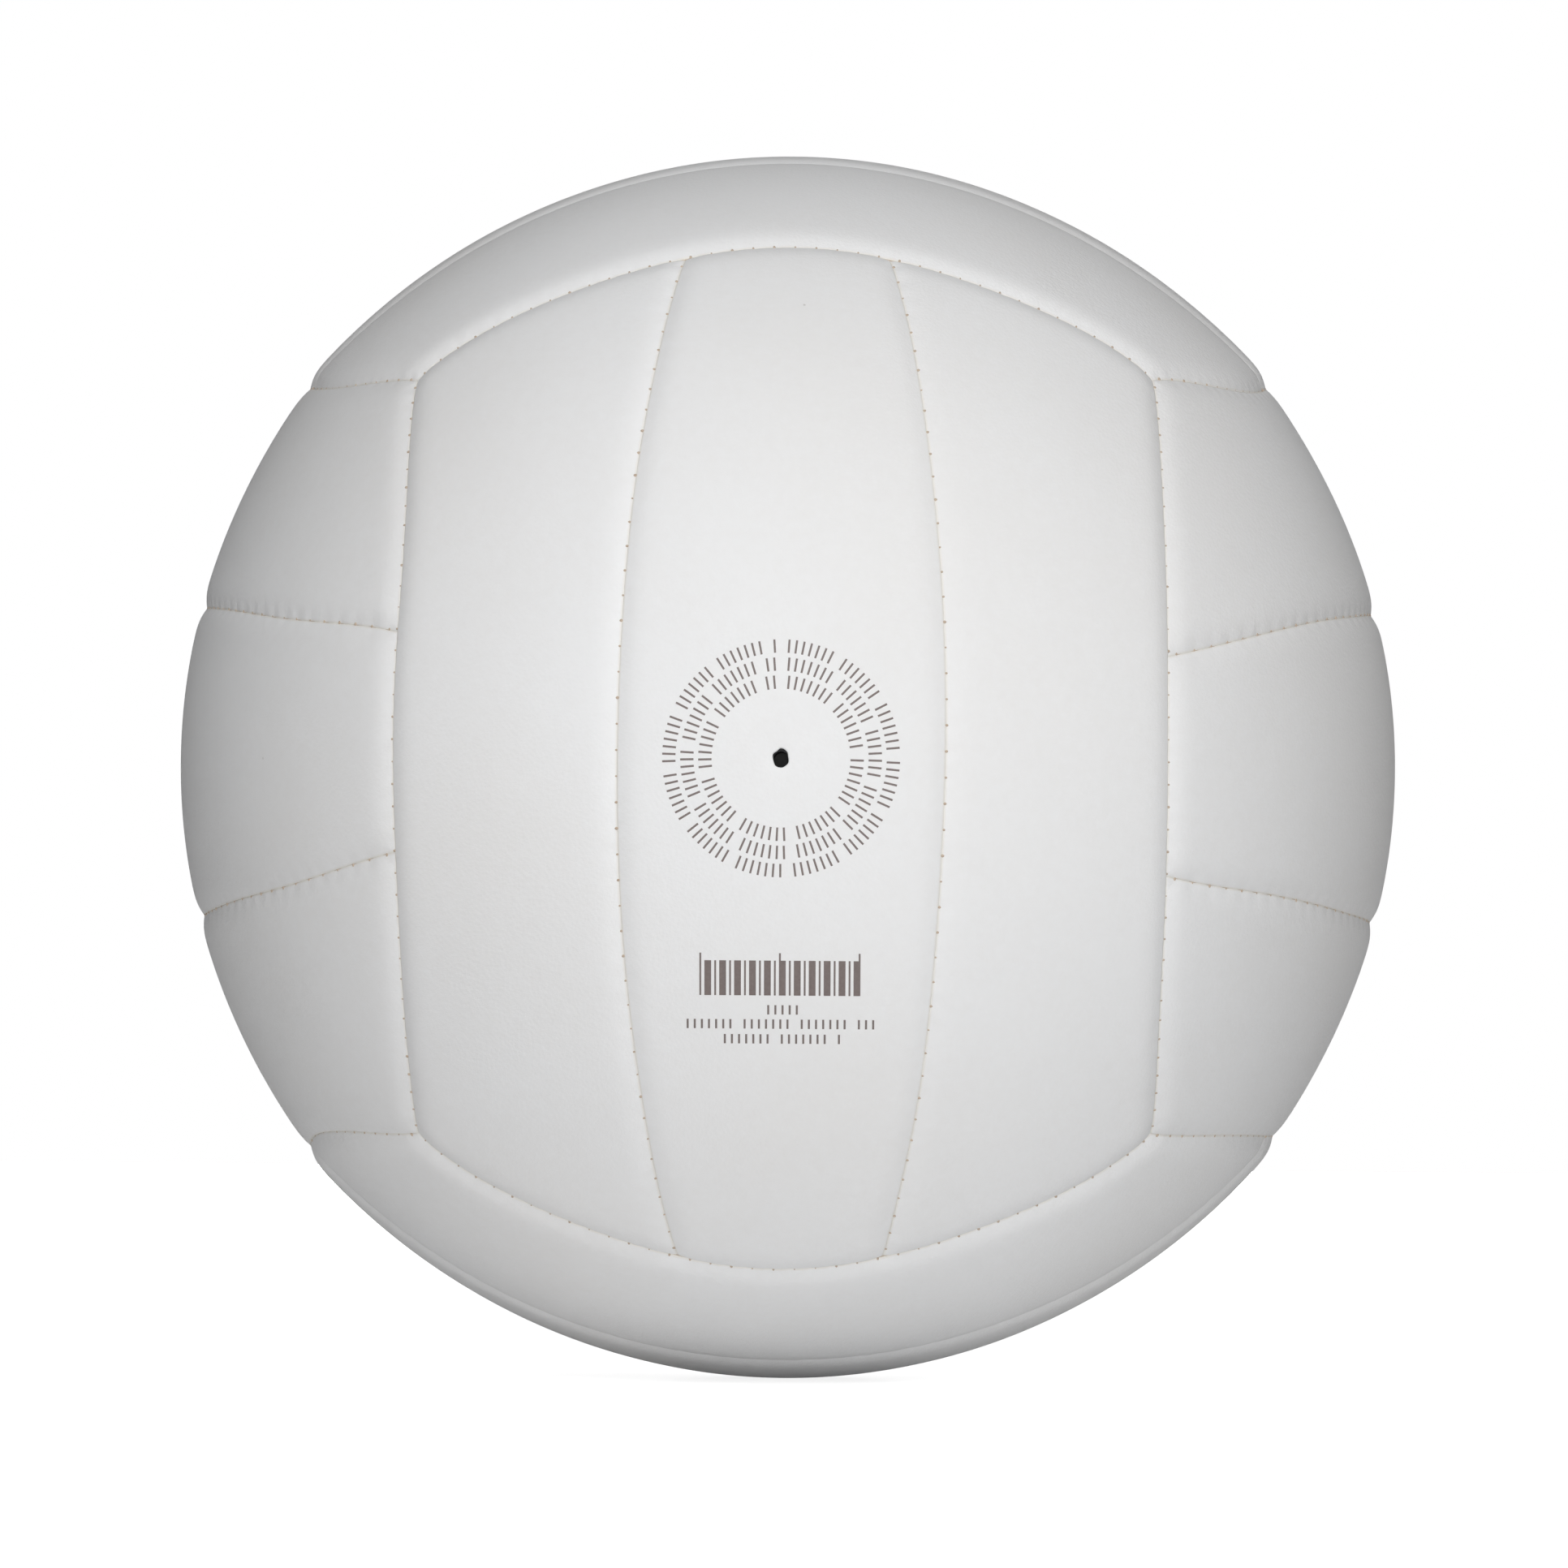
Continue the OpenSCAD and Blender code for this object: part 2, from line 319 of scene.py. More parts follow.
def level_radius(points, face):
    """The face's radius, brought level at each edge with the face that it is sewn to."""
    own = face_radius(points, face)
    level = own.copy()
    for seam, edge, toward in face_seams:
        if edge:
            other = across_from(face, toward)
            theirs = face_radius(points @ turn[face].T @ turn[other], other)
            near = np.vectorize(erfc)(from_seam(points, seam)[0] / edge_lip_width)
            level += near * (theirs - own) / 2
    return level


# Turned and blown up, the cover settles a little off its true lines. Each row is a place
# on the ball, and how far its seams have slipped there, in millimetres.
slips = [
    ((-1, -1, 1), (-1.3, 3.2, 1.9)),
    ((1, -1, 1), (0.4, 3.4, 3.0)),
    ((1, -1, -1), (0.9, 2.5, -1.6)),
    ((-1, -1, -1), (0.0, 2.4, -2.5)),
    ((-0.8, 0, 0.6), (1.1, 0, 1.4)),
    ((0.8, 0, 0.6), (-2.1, 0, 2.9)),
    ((-0.8, 0, -0.6), (2.4, 0, -3.2)),
    ((-0.6, -0.79, 0.16), (0, 0.5, 2.4)),
    ((-0.6, -0.79, -0.16), (0, -0.1, 0.3)),
    ((0.6, -0.79, 0.16), (0, -0.1, -0.6)),
    ((0.6, -0.79, -0.16), (0, 0.5, -2.4)),
    ((0, -0.6, 0.8), (0, 1.0, 0.8)),
    ((0, -0.6, -0.8), (0, 1.5, -1.1)),
    ((-0.6, -0.8, 0), (-0.7, 0.5, 0)),
    ((0, -0.25, 0.97), (0, 3.3, 0.8)),
    ((-0.3, -0.25, 0.92), (0, 2.0, 0.5)),
    ((0.3, -0.25, 0.92), (0, 2.0, 0.5)),
]
slip_reach = 24 * MM
seam_drift_seed = 380
noise.seed_set(seam_drift_seed)


def drifted(points, strength):
    """Unit directions moved sideways, as sewn seams slip and wander from true circles."""
    moved = points.copy()
    for way, slip in slips:
        far = np.linalg.norm(points - unit(way), axis=1) * ball_r / slip_reach
        moved += np.exp(-(far**2))[:, None] * np.array(slip) * MM / ball_r
    for i, (p, s) in enumerate(zip(points, strength)):
        wander = noise.noise_vector(Vector(p) * (ball_r / seam_drift_size))
        moved[i] += np.array(wander) * (s * seam_drift / ball_r)
    return moved / np.linalg.norm(moved, axis=1)[:, None]


def leather_radius(points, face, side):
    """Radius of a strip's leather, and its distance from the nearest seam."""
    nearest = np.full(len(points), 1.0)
    pull = np.zeros(len(points))
    for seam, edge, toward in face_seams:
        away, along = from_seam(points, seam)
        nearest = np.minimum(nearest, away)
        shown = sewn_face(face, toward) == face if edge else side != 0
        turns = (along / seam_length(seam) + 0.5) * stitch_count(seam, edge)
        wave = -np.cos(2 * pi * turns)
        near = np.exp(-((np.maximum(away - pucker_place, 0) / pucker_width) ** 2))
        tug = pucker_depth * (1 if shown else far_pucker_share)
        pull += tug * near * (0.5 + 0.5 * wave) ** pucker_sharpness
    return level_radius(points, face) - lips(points) - pull, nearest


def spaced(length, step):
    """Shares along a length: close together in the lips at both ends, and even between."""
    lip = np.array(lip_steps) * MM
    count = int((length - 2 * lip[-1]) / step)
    middle = np.linspace(lip[-1], length - lip[-1], count + 1)[1:-1]
    return np.concatenate((lip, middle, length - lip[::-1])) / length


def loop_of(index, rows, cols):
    """The indices round a block of a grid, anticlockwise seen from outside."""
    block = index[rows[0] : rows[1] + 1, cols[0] : cols[1] + 1]
    return np.concatenate((block[0, :-1], block[:-1, -1], block[-1, :0:-1], block[:0:-1, 0]))


def tube(rings):
    """Quads between each ring of indices and the next one inside it."""
    quads = []
    for outer, inner in zip(rings[:-1], rings[1:]):
        quads.append(np.stack((outer, np.roll(outer, -1), np.roll(inner, -1), inner), -1))
    return np.concatenate(quads)


def solid(name, points, quads, material):
    mesh = bpy.data.meshes.new(name)
    mesh.from_pydata(points.tolist(), [], quads.tolist())
    mesh.polygons.foreach_set("use_smooth", [True] * len(mesh.polygons))
    mesh.materials.append(material)
    mesh.update()
    piece = bpy.data.objects.new(name, mesh)
    bpy.context.scene.collection.objects.link(piece)
    return piece


# The needle hole is punched through the front face's middle strip, square to the valve.
# The punch drags the leather in, and leaves a soft dimple and a slightly ragged rim.
hole_r = 1.34 * MM
hole_tall_share = 1.12
hole_at = np.array((-1.5 * MM, 0.0))
hole_block = 5.5 * MM
hole_ragged_share = 0.2
dimple_depth = 0.34 * MM
dimple_width = 1.8 * MM
rim_round = 0.22 * MM
ragged_turns = 1.5
ragged_seed = 4.1

# The grid's rings, as shares of the way in to the rim, and the rim's own section, as shares
# of its rounding: how far in, and how far down.
ring_shares = (0.2, 0.4, 0.55, 0.68, 0.78, 0.86, 0.93, 1.0)
rim_section = ((0.35, 0.08), (0.75, 0.3), (1.0, 0.7))


def needle_hole(points, index, face):
    """Rings that close a grid round the needle hole, and the block of the grid they fill."""
    place = points[:, :2] - hole_at
    inside = (np.abs(place) < hole_block).all(axis=1).reshape(index.shape)
    rows = np.flatnonzero(inside.any(axis=1))[[0, -1]]
    cols = np.flatnonzero(inside.any(axis=0))[[0, -1]]
    start = place[loop_of(index, rows, cols)]
    angle = np.arctan2(start[:, 1], start[:, 0])
    around = ragged_turns * np.stack((np.cos(angle), np.sin(angle)), -1)
    ragged = [noise.noise(Vector((x, y, ragged_seed))) for x, y in around]
    rim = hole_r * (1 + hole_ragged_share * np.array(ragged))
    round_rim = np.stack((hole_tall_share * np.cos(angle), np.sin(angle)), -1)
    rings = []
    for share in ring_shares:
        flat = start + (round_rim * (rim + rim_round)[:, None] - start) * share + hole_at
        rings.append((flat, 0.0))
    for inward, down in rim_section:
        flat = round_rim * (rim + rim_round * (1 - inward))[:, None] + hole_at
        rings.append((flat, down * rim_round))
    outer = []
    for flat, down in rings:
        high = np.sqrt(ball_r**2 - (flat**2).sum(axis=1))
        way = np.column_stack((flat, high)) / ball_r
        reach = np.linalg.norm(flat - hole_at, axis=1)
        dimple = dimple_depth * np.exp(-((reach / dimple_width) ** 2))
        outer.append(way * (face_radius(way, face) - dimple - down)[:, None])
    way = outer[-1] / np.linalg.norm(outer[-1], axis=1)[:, None]
    return rows, cols, outer + [way * (ball_r - leather_t)]


def leather_strip(name, face, side, material):
    low = long_edge(-1) if side < 0 else strip_seam(1 if side else -1)
    high = long_edge(1) if side > 0 else strip_seam(-1 if side else 1)
    t = spaced(acos(low[1] @ high[1]) * ball_r, step_across)
    w = spaced((seam_length(low) + seam_length(high)) / 2, step_along)
    low_arc, high_arc = (along_circle(s, s[0], s[2], w) for s in (low, high))
    start = along_circle(short_edge(-1), low[0], high[0], t)
    end = along_circle(short_edge(1), low[2], high[2], t)
    tt, ww = t[:, None, None], w[None, :, None]
    points = (1 - tt) * low_arc + tt * high_arc + (1 - ww) * start[:, None] + ww * end[:, None]
    points = points - (1 - ww) * ((1 - tt) * low[0] + tt * high[0])
    points = (points - ww * ((1 - tt) * low[2] + tt * high[2])).reshape(-1, 3)
    points = points / np.linalg.norm(points, axis=1)[:, None]

    r, nearest = leather_radius(points, face, side)
    flange = flange_depth * np.exp(-((nearest / flange_width) ** 2))
    deep = np.minimum(ball_r - leather_t - flange, r - edge_t)
    world = drifted(points @ turn[face].T, np.exp(-((nearest / seam_drift_reach) ** 2)))
    bulge = np.array([noise.noise(Vector(p) * (ball_r / uneven_size)) for p in world])
    r = r + uneven_depth * bulge * np.clip(nearest / uneven_from_seam, 0, 1)

    index = np.arange(len(points)).reshape(len(t), len(w))
    a, b, c, d = index[:-1, :-1], index[:-1, 1:], index[1:, 1:], index[1:, :-1]
    grid = np.stack((a, b, c, d), -1)
    count = len(points)
    verts = np.concatenate((world * r[:, None], world * deep[:, None]))
    edge = loop_of(index, (0, len(t) - 1), (0, len(w) - 1))
    sides = tube([edge + count, edge])
    if name == "front_middle":
        rows, cols, rings = needle_hole(points * ball_r, index, face)
        grid[rows[0] : rows[1], cols[0] : cols[1]] = -1
        loop = loop_of(index, rows, cols)
        added = [len(verts) + i * len(loop) + np.arange(len(loop)) for i in range(len(rings))]
        verts = np.concatenate([verts] + [ring @ turn[face].T for ring in rings])
        sides = np.concatenate((sides, tube([loop] + added + [loop + count])))
    grid = grid.reshape(-1, 4)
    grid = grid[grid[:, 0] >= 0]
    quads = np.concatenate((grid, grid[:, ::-1] + count, sides))
    piece = solid(name + "_leather", verts, quads, material)
    marks = np.full(len(verts), 1.0, np.float32)
    marks[: 2 * count] = np.tile(nearest, 2)
    seam_distance = piece.data.attributes.new("seam_distance", "FLOAT", "POINT")
    seam_distance.data.foreach_set("value", marks)
    return piece


# The leather's finish: matt and finely pebbled, warmer in broad clouds, cream where it is
# stretched over a seam's edge, with a few dust specks.
leather_white = (0.841, 0.843, 0.847, 1)
leather_warm = (0.817, 0.812, 0.808, 1)
leather_cream = (0.76, 0.735, 0.68, 1)
leather_speck = (0.45, 0.43, 0.41, 1)
cream_width = 0.4 * MM
speck_reach = (0.006, 0.018)
mottle_share = 0.3

leather, tree, shader = finish("white synthetic leather")
spot = made(tree, "ShaderNodeTexCoord").outputs["Object"]
clouds = made(tree, "ShaderNodeTexNoise", Scale=13, Detail=3)
mottle = made(tree, "ShaderNodeTexNoise", Scale=620, Detail=3)
tone = made(tree, "ShaderNodeMath", operation="MULTIPLY_ADD")
tone.inputs[1].default_value = mottle_share
pebbles = made(tree, "ShaderNodeTexVoronoi", Scale=1500)
fibres = made(tree, "ShaderNodeTexNoise", Scale=5200, Detail=2)
specks = made(tree, "ShaderNodeTexVoronoi", Scale=60)
near_seam = made(tree, "ShaderNodeAttribute", attribute_name="seam_distance")
grain = made(tree, "ShaderNodeMath", operation="ADD")
grain_bump = made(tree, "ShaderNodeBump", Strength=0.7, Distance=0.04 * MM)
for texture in (clouds, mottle, pebbles, fibres, specks):
    tree.links.new(spot, texture.inputs["Vector"])
tree.links.new(pebbles.outputs["Distance"], grain.inputs[0])
tree.links.new(fibres.outputs[0], grain.inputs[1])
tree.links.new(grain.outputs[0], grain_bump.inputs["Height"])
tree.links.new(grain_bump.outputs["Normal"], shader.inputs["Normal"])
tree.links.new(mottle.outputs[0], tone.inputs[0])
tree.links.new(clouds.outputs[0], tone.inputs[2])
warmth = ranged(tree, tone.outputs[0], 0, 1, 0.35 + mottle_share / 2, 0.65 + mottle_share / 2)
warm = between(tree, warmth, leather_white, leather_warm)
cream = ranged(tree, near_seam.outputs["Fac"], 0.75, 0, 0, cream_width)
creamy = made(tree, "ShaderNodeMix", data_type="RGBA", B=leather_cream)
tree.links.new(warm, creamy.inputs["A"])
tree.links.new(cream, creamy.inputs["Factor"])
speckled = made(tree, "ShaderNodeMix", data_type="RGBA", B=leather_speck)
tree.links.new(creamy.outputs["Result"], speckled.inputs["A"])
speckle = ranged(tree, specks.outputs["Distance"], 0.6, 0, *speck_reach)
tree.links.new(speckle, speckled.inputs["Factor"])
tree.links.new(speckled.outputs["Result"], shader.inputs["Base Color"])
tree.links.new(ranged(tree, clouds.outputs[0], 0.7, 0.8), shader.inputs["Roughness"])
shader.inputs["Specular IOR Level"].default_value = 0.05

strip_leather = {}
for face, members in strips.items():
    for name, side in members.items():
        piece = leather_strip(name, face, side, leather)
        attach(piece, "root")
        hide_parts(name + "_panel")
        strip_leather[name] = piece
        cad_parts[name + "_foam"].data.materials.clear()
        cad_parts[name + "_foam"].data.materials.append(foam)


# Waxed tan thread sews the strips and the faces together. Its run lies at the bottom of
# every crease, and each stitch comes through the nearer lip as a short loop that pulls the
# leather's edge in.
thread_d = 0.2 * MM
loop_length = 0.6 * MM
loop_width = 0.44 * MM
loop_side = 0.16 * MM
loop_sunk = 0.03 * MM
loop_uneven_share = 0.25
run_points = 161
run_hidden = 0.1 * MM
run_shown = {"left": 0.13 * MM, "right": 0.13 * MM}
thread_tan = (0.55, 0.45, 0.36, 1)
thread_dark = (0.42, 0.33, 0.25, 1)

thread, tree, shader = finish("waxed tan thread")
spot = made(tree, "ShaderNodeTexCoord").outputs["Object"]
plies = made(tree, "ShaderNodeTexWave", bands_direction="DIAGONAL", Scale=1500, Distortion=2.0)
soil = made(tree, "ShaderNodeTexNoise", Scale=350)
ply_bump = made(tree, "ShaderNodeBump", Strength=0.5, Distance=0.03 * MM)
tree.links.new(spot, plies.inputs["Vector"])
tree.links.new(spot, soil.inputs["Vector"])
tree.links.new(plies.outputs["Fac"], ply_bump.inputs["Height"])
tree.links.new(ply_bump.outputs["Normal"], shader.inputs["Normal"])
soiled = between(tree, soil.outputs[0], thread_tan, thread_dark)
tree.links.new(soiled, shader.inputs["Base Color"])
tree.links.new(ranged(tree, soil.outputs[0], 0.45, 0.7), shader.inputs["Roughness"])

sewing = bpy.data.node_groups.new("lockstitch along a seam", "GeometryNodeTree")
sockets = sewing.interface
sockets.new_socket("Geometry", in_out="OUTPUT", socket_type="NodeSocketGeometry")
seam_in = {}
for label, kind in (
    ("Seam", "NodeSocketGeometry"),
    ("Stitches", "NodeSocketInt"),
    ("Thread Width", "NodeSocketFloat"),
    ("Loop Length", "NodeSocketFloat"),
    ("Loop Width", "NodeSocketFloat"),
    ("Unevenness", "NodeSocketFloat"),
    ("Seed", "NodeSocketInt"),
    ("Thread", "NodeSocketMaterial"),
):
    seam_in[label] = sockets.new_socket(label, in_out="INPUT", socket_type=kind).identifier
given = sewing.nodes.new("NodeGroupInput").outputs
done = sewing.nodes.new("NodeGroupOutput").inputs
wire = sewing.links.new
run = made(sewing, "GeometryNodeMeshToCurve")
half_width = made(sewing, "ShaderNodeMath", operation="MULTIPLY")
half_width.inputs[1].default_value = 0.5
section = made(sewing, "GeometryNodeCurvePrimitiveCircle", Resolution=6)
cord = made(sewing, "GeometryNodeCurveToMesh", Fill_Caps=True)
holes = made(sewing, "GeometryNodeResampleCurve", mode="COUNT")
loop_offset = made(
    sewing, "GeometryNodeInputNamedAttribute", data_type="FLOAT_VECTOR", Name="to_lip"
)
lifted = made(sewing, "GeometryNodeSetPosition")
here = made(sewing, "GeometryNodeInputPosition")
upright = made(sewing, "FunctionNodeAlignRotationToVector", axis="Z")
sideways = made(sewing, "FunctionNodeAlignRotationToVector", axis="X", pivot_axis="Z")
bead = made(sewing, "GeometryNodeMeshUVSphere", Segments=8, Rings=5, Radius=0.5)
bead_size = made(sewing, "ShaderNodeCombineXYZ")
shaped = made(sewing, "GeometryNodeTransform")
smallest = made(sewing, "ShaderNodeMath", operation="SUBTRACT")
smallest.inputs[0].default_value = 1
largest = made(sewing, "ShaderNodeMath", operation="ADD")
largest.inputs[0].default_value = 1
varied = made(sewing, "FunctionNodeRandomValue", data_type="FLOAT")
loops = made(sewing, "GeometryNodeInstanceOnPoints")
real = made(sewing, "GeometryNodeRealizeInstances")
both = made(sewing, "GeometryNodeJoinGeometry")
smooth = made(sewing, "GeometryNodeSetShadeSmooth")
dyed = made(sewing, "GeometryNodeSetMaterial")
wire(given["Seam"], run.inputs["Mesh"])
wire(given["Thread Width"], half_width.inputs[0])
wire(half_width.outputs[0], section.inputs["Radius"])
wire(run.outputs["Curve"], cord.inputs["Curve"])
wire(section.outputs["Curve"], cord.inputs["Profile Curve"])
wire(run.outputs["Curve"], holes.inputs["Curve"])
wire(given["Stitches"], holes.inputs["Count"])
wire(holes.outputs["Curve"], lifted.inputs["Geometry"])
wire(loop_offset.outputs["Attribute"], lifted.inputs["Offset"])
wire(here.outputs["Position"], upright.inputs["Vector"])
wire(upright.outputs["Rotation"], sideways.inputs["Rotation"])
wire(loop_offset.outputs["Attribute"], sideways.inputs["Vector"])
wire(given["Loop Length"], bead_size.inputs["X"])
wire(given["Loop Width"], bead_size.inputs["Y"])
wire(given["Loop Width"], bead_size.inputs["Z"])
wire(bead.outputs["Mesh"], shaped.inputs["Geometry"])
wire(bead_size.outputs["Vector"], shaped.inputs["Scale"])
wire(given["Unevenness"], smallest.inputs[1])
wire(given["Unevenness"], largest.inputs[1])
wire(smallest.outputs[0], varied.inputs["Min"])
wire(largest.outputs[0], varied.inputs["Max"])
wire(given["Seed"], varied.inputs["Seed"])
wire(lifted.outputs["Geometry"], loops.inputs["Points"])
wire(shaped.outputs["Geometry"], loops.inputs["Instance"])
wire(sideways.outputs["Rotation"], loops.inputs["Rotation"])
wire(varied.outputs["Value"], loops.inputs["Scale"])
wire(cord.outputs["Mesh"], both.inputs[0])
wire(loops.outputs["Instances"], both.inputs[0])
wire(both.outputs[0], real.inputs["Geometry"])
wire(real.outputs["Geometry"], smooth.inputs["Geometry"])
wire(smooth.outputs["Geometry"], dyed.inputs["Geometry"])
wire(given["Thread"], dyed.inputs["Material"])
wire(dyed.outputs["Geometry"], done["Geometry"])


def grown(name, points, edges, attributes, group, values):
    """The plain mesh that a node tree grows on points and edges."""
    mesh = bpy.data.meshes.new(name + "_guide")
    mesh.from_pydata(points.tolist(), edges, [])
    for label, kind, field, data in attributes:
        mesh.attributes.new(label, kind, "POINT").data.foreach_set(field, np.ravel(data))
    guide = bpy.data.objects.new(name + "_guide", mesh)
    bpy.context.scene.collection.objects.link(guide)
    nodes = guide.modifiers.new("grow", "NODES")
    nodes.node_group = group
    for identifier, value in values.items():
        nodes[identifier] = value
    shown = guide.evaluated_get(bpy.context.evaluated_depsgraph_get())
    result = bpy.data.meshes.new_from_object(shown)
    result.name = name
    piece = bpy.data.objects.new(name, result)
    bpy.context.scene.collection.objects.link(piece)
    bpy.data.objects.remove(guide)
    return piece


def seam_path(face, seam, edge, toward):
    """A seam's run of thread as points in the ball's frame, with the step up to a lip."""
    shown = sewn_face(face, toward) if edge else face
    half = 0.5 / stitch_count(seam, edge)
    own = along_circle(seam, seam[0], seam[2], np.linspace(half, 1 - half, run_points))
    ways = own @ turn[face].T
    world = drifted(ways, np.ones(len(ways)))
    axis = turn[face] @ seam_axis(seam)
    lip_way = turn[shown][:, 2] if edge else turn[face] @ toward
    side = axis - world * (world @ axis)[:, None]
    side = side * np.sign(side @ lip_way)[:, None]
    side = side / np.linalg.norm(side, axis=1)[:, None] * loop_side
    crease = level_radius(own, face) - lips(own) - pucker_depth
    down = run_hidden - (0 if edge else run_shown.get(face, 0))
    rise = lip_drop(np.zeros(1), edge) - lip_drop(np.full(1, loop_side), edge)
    up = rise + down - loop_sunk
    return world * (crease - down)[:, None], world * up + side


def sewn(name, seams, stitches, seed):
    points, steps, edges = [], [], []
    for seam in seams:
        path, step = seam_path(*seam)
        first = sum(len(p) for p in points)
        edges += [(first + i, first + i + 1) for i in range(len(path) - 1)]
        points.append(path)
        steps.append(step)
    values = {
        seam_in["Stitches"]: stitches,
        seam_in["Thread Width"]: thread_d,
        seam_in["Loop Length"]: loop_length,
        seam_in["Loop Width"]: loop_width,
        seam_in["Unevenness"]: loop_uneven_share,
        seam_in["Seed"]: seed,
        seam_in["Thread"]: thread,
    }
    to_lip = [("to_lip", "FLOAT_VECTOR", "vector", np.concatenate(steps))]
    piece = grown(name, np.concatenate(points), edges, to_lip, sewing, values)
    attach(piece, "root")
    return piece


for seed, face in enumerate(faces):
    seams = [(face, strip_seam(v), False, (0, v, 0)) for v in (-1, 1)]
    piece = sewn(face + "_stitches", seams, stitch_count(strip_seam(1), False), seed)
    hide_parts(face + "_thread")
seams = [(face, long_edge(v), True, (0, v, 0)) for face in faces for v in (-1, 1)]
piece = sewn("joining_stitches", seams, stitch_count(long_edge(1), True), len(faces))
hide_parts("joining_thread")


# Grey-brown ink is screen-printed on the middle strip round the needle hole: three plain
# rings of ticks, with a block of bars and three rows of ticks below them.
ink_t = 0.02 * MM
tick_length = 2.15 * MM
tick_width = 0.33 * MM
tick_pitch = 1.15 * MM
row_tick_share = 0.7
rings_r = [12.2 * MM, 15.1 * MM, 18.0 * MM]
print_centre = (0.0, 0.0, -1.4 * MM)
bar_rows = {
    "thin": (-12.8, 12.8, -36.6, 5.6, 0.8, 0.3),
    "wide": (-11.6, 11.6, -36.6, 5.6, 2.4, 0.55),
    "tall": (-12.8, 12.8, -36.0, 6.8, 12.8, 0.3),
}
tick_rows = [(-3.0, 3.0, -41.7), (-16.0, 16.0, -44.0), (-10.0, 10.0, -46.4)]
ticks_per_group = 7
ink_grey = (0.13, 0.10, 0.094, 1)
ink_worn = (0.20, 0.165, 0.155, 1)

ink, tree, shader = finish("screen-printed ink")
spot = made(tree, "ShaderNodeTexCoord").outputs["Object"]
wear = made(tree, "ShaderNodeTexNoise", Scale=1800, Detail=3)
tree.links.new(spot, wear.inputs["Vector"])
tree.links.new(between(tree, wear.outputs[0], ink_grey, ink_worn), shader.inputs["Base Color"])
tree.links.new(ranged(tree, wear.outputs[0], 0.5, 0.7), shader.inputs["Roughness"])

printing = bpy.data.node_groups.new("ticks printed on leather", "GeometryNodeTree")
sockets = printing.interface
sockets.new_socket("Geometry", in_out="OUTPUT", socket_type="NodeSocketGeometry")
print_in = {}
for label, kind in (
    ("Places", "NodeSocketGeometry"),
    ("Tick Width", "NodeSocketFloat"),
    ("Tick Length", "NodeSocketFloat"),
    ("Ink Thickness", "NodeSocketFloat"),
    ("Leather", "NodeSocketObject"),
    ("Ink", "NodeSocketMaterial"),
):
    print_in[label] = sockets.new_socket(label, in_out="INPUT", socket_type=kind).identifier
given = printing.nodes.new("NodeGroupInput").outputs
done = printing.nodes.new("NodeGroupOutput").inputs
wire = printing.links.new
spots = made(printing, "GeometryNodeMeshToPoints")
tick = made(printing, "GeometryNodeMeshCube")
tick.inputs["Vertices Z"].default_value = 4
tick_size = made(printing, "ShaderNodeCombineXYZ")
lean = made(printing, "GeometryNodeInputNamedAttribute", data_type="FLOAT_VECTOR", Name="lean")
ticks = made(printing, "GeometryNodeInstanceOnPoints")
real = made(printing, "GeometryNodeRealizeInstances")
here = made(printing, "GeometryNodeInputPosition")
apart = made(printing, "ShaderNodeSeparateXYZ")
before = made(printing, "ShaderNodeCombineXYZ", Y=-2 * ball_r)
skin_of = made(printing, "GeometryNodeObjectInfo")
ray = made(printing, "GeometryNodeRaycast", Ray_Direction=(0, 1, 0), Ray_Length=2 * ball_r)
landed = made(printing, "ShaderNodeSeparateXYZ")
proud = made(printing, "ShaderNodeMath", operation="ADD")
laid = made(printing, "ShaderNodeCombineXYZ")
pressed = made(printing, "GeometryNodeSetPosition")
inked = made(printing, "GeometryNodeSetMaterial")
wire(given["Places"], spots.inputs["Mesh"])
wire(given["Tick Width"], tick_size.inputs["X"])
wire(given["Ink Thickness"], tick_size.inputs["Y"])
wire(given["Tick Length"], tick_size.inputs["Z"])
wire(tick_size.outputs["Vector"], tick.inputs["Size"])
wire(spots.outputs["Points"], ticks.inputs["Points"])
wire(tick.outputs["Mesh"], ticks.inputs["Instance"])
wire(lean.outputs["Attribute"], ticks.inputs["Rotation"])
wire(ticks.outputs["Instances"], real.inputs["Geometry"])
wire(real.outputs["Geometry"], pressed.inputs["Geometry"])
wire(here.outputs["Position"], apart.inputs["Vector"])
wire(apart.outputs["X"], before.inputs["X"])
wire(apart.outputs["Z"], before.inputs["Z"])
wire(given["Leather"], skin_of.inputs["Object"])
wire(skin_of.outputs["Geometry"], ray.inputs["Target Geometry"])
wire(before.outputs["Vector"], ray.inputs["Source Position"])
wire(ray.outputs["Hit Position"], landed.inputs["Vector"])
wire(landed.outputs["Y"], proud.inputs[0])
wire(apart.outputs["Y"], proud.inputs[1])
wire(apart.outputs["X"], laid.inputs["X"])
wire(proud.outputs[0], laid.inputs["Y"])
wire(apart.outputs["Z"], laid.inputs["Z"])
wire(laid.outputs["Vector"], pressed.inputs["Position"])
wire(pressed.outputs["Geometry"], inked.inputs["Geometry"])
wire(given["Ink"], inked.inputs["Material"])
wire(inked.outputs["Geometry"], done["Geometry"])


def printed(name, places, leans, width, length):
    points = np.array(places)
    turns = np.zeros((len(points), 3))
    turns[:, 1] = leans
    values = {
        print_in["Tick Width"]: width,
        print_in["Tick Length"]: length,
        print_in["Ink Thickness"]: 2 * ink_t,
        print_in["Leather"]: strip_leather["front_middle"],
        print_in["Ink"]: ink,
    }
    lean_data = [("lean", "FLOAT_VECTOR", "vector", turns)]
    piece = grown(name, points, [], lean_data, printing, values)
    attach(piece, "root")
    return piece


